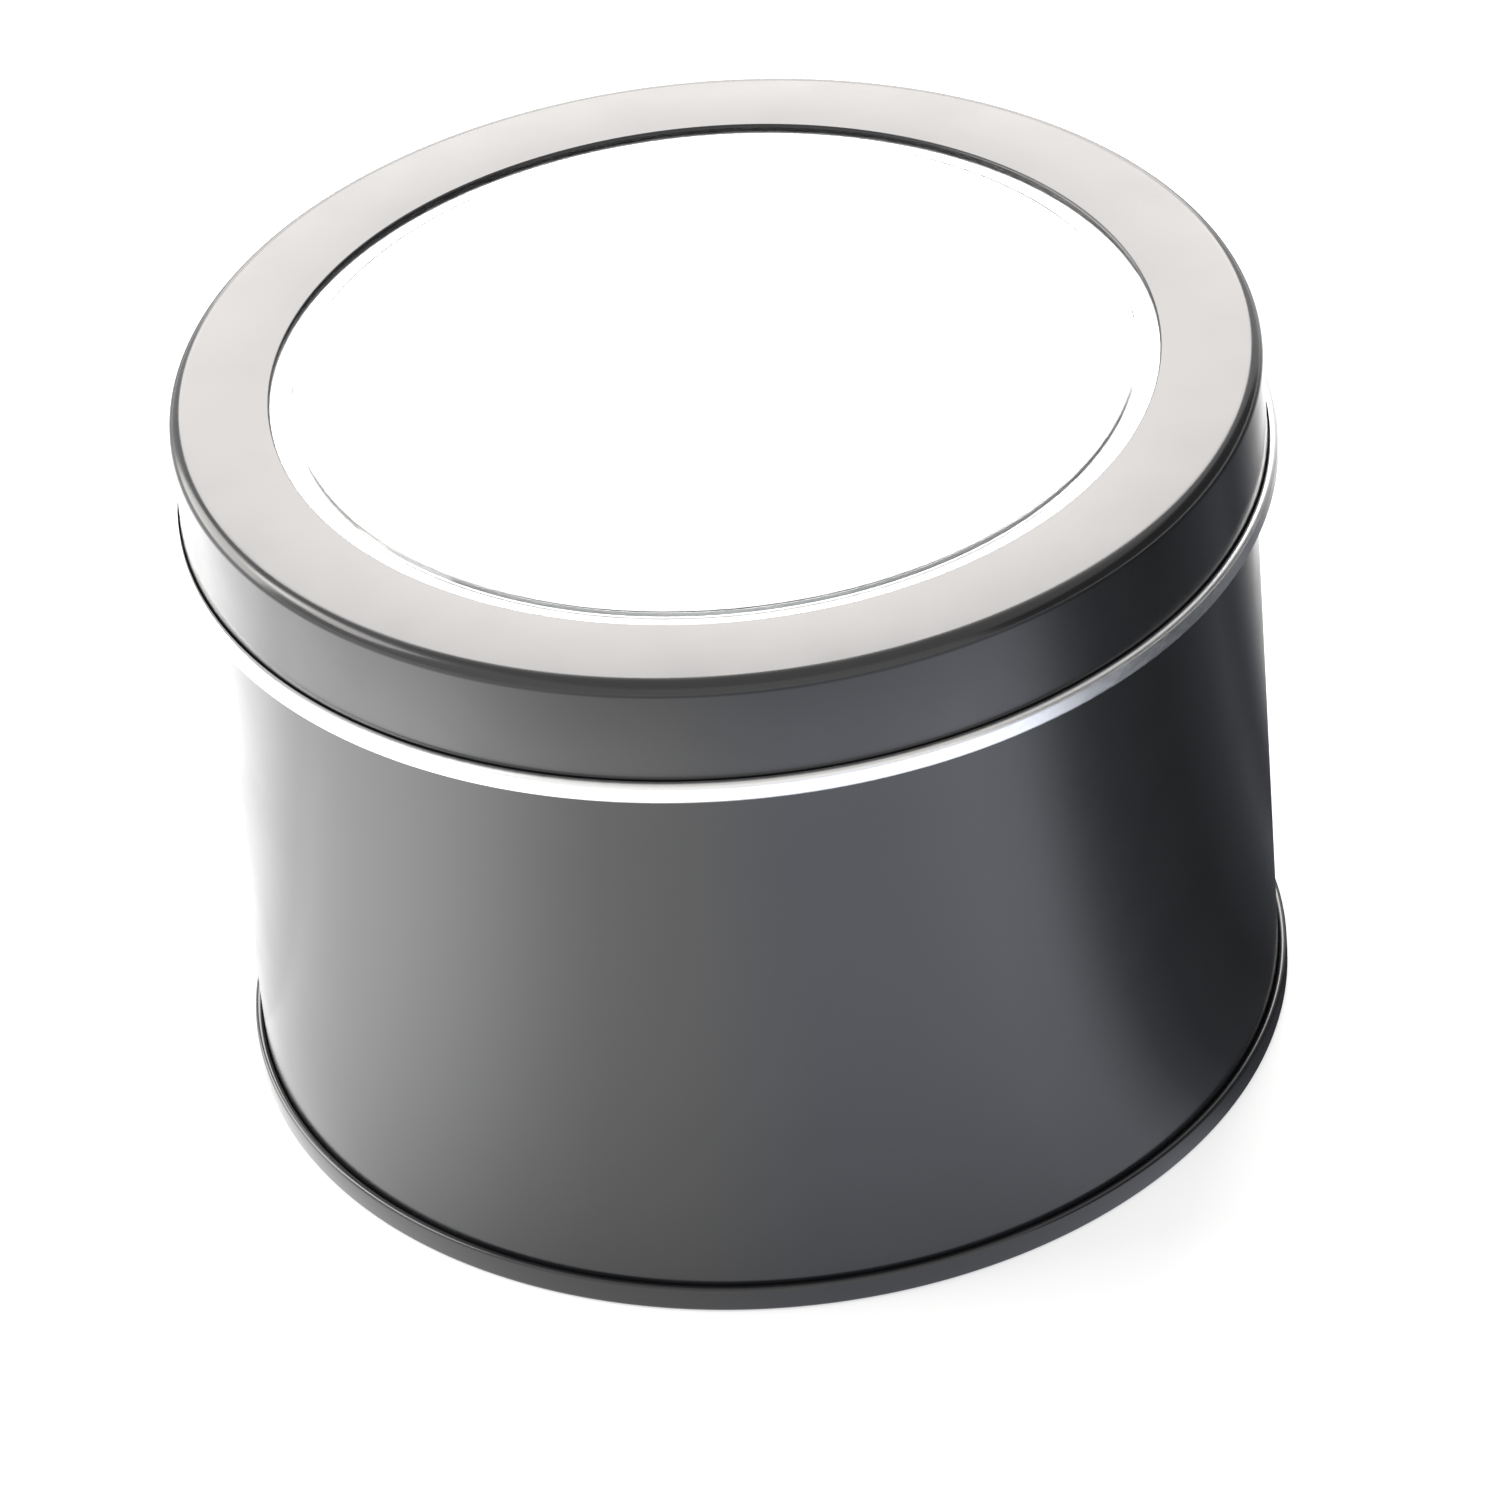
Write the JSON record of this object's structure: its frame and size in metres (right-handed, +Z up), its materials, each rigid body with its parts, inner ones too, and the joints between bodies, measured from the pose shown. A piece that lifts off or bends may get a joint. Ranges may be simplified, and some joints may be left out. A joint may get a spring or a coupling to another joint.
{
  "type": "round slip-lid tin with a window lid",
  "caption": "Round slip-lid tin: a folded bottom seam, a straight wall with a curled mouth, and a lift-off lid whose flat ring frames a clear window.",
  "frame": {"origin": "centre of the tin's base, on the surface that the tin stands on", "axes": "+Z up along the tin's axis, from the bottom to the lid; +X to the right and -Y to the front, the side seam of the wall being behind the right side"},
  "size_m": [0.1038, 0.1038, 0.0723],
  "materials": {
    "black_lacquer": "black lacquer on tinplate, semi-gloss",
    "bare_tinplate": "bare tinplate, bright",
    "clear_window": "clear plastic sheet, glossy"
  },
  "bodies": {
    "tin": {"body_wall": "black_lacquer", "bottom_end": "black_lacquer"},
    "lid": {"lid_shell": "black_lacquer", "window_disc": "clear_window", "window_retaining_ring": "bare_tinplate"}
  },
  "joints": [
    {"name": "lid_lift", "type": "slide", "parent": "tin", "child": "lid", "axis": [0, 0, 1], "range_m": [0, 0.08]}
  ]
}
